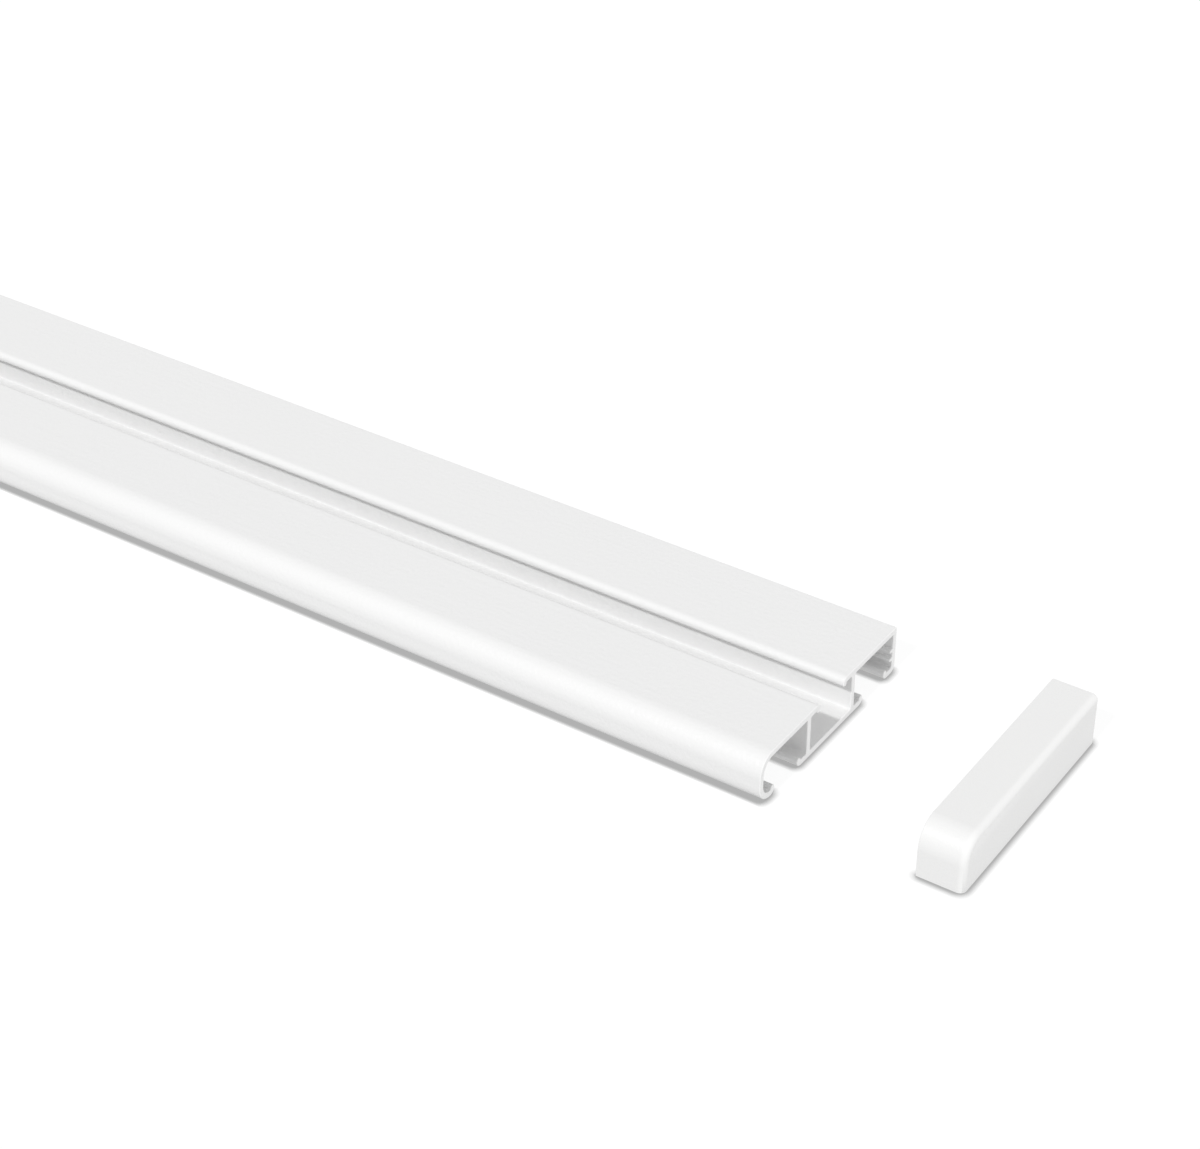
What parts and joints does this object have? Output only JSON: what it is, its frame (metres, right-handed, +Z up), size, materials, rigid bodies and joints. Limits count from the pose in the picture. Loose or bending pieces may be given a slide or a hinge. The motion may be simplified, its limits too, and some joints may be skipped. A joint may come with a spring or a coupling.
{
  "type": "curtain track",
  "caption": "Flat white ceiling curtain track: an aluminium rail with runner lanes open below, a clip channel open above, and slip-on end caps.",
  "frame": {"origin": "mid-length of the rail, in the middle of the clip channel's mouth, level with the rail's top", "axes": "+X along the rail towards the end whose cap is off, +Y towards the wall behind the rail, +Z up towards the ceiling"},
  "size_m": [0.6452, 0.0538, 0.0116],
  "materials": {
    "rail_coat": "matte",
    "cap_plastic": "matte"
  },
  "bodies": {
    "rail": {"rail": "rail_coat"},
    "right_cap": {"end_cap_right": "cap_plastic"},
    "left_cap": {"end_cap_left": "cap_plastic"}
  },
  "joints": [
    {"name": "right_cap_push", "type": "slide", "parent": "rail", "child": "right_cap", "axis": [-1, 0, 0], "range_m": [0, 0.0416]},
    {"name": "left_cap_pull", "type": "slide", "parent": "rail", "child": "left_cap", "axis": [-1, 0, 0], "range_m": [0, 0.0416]}
  ]
}
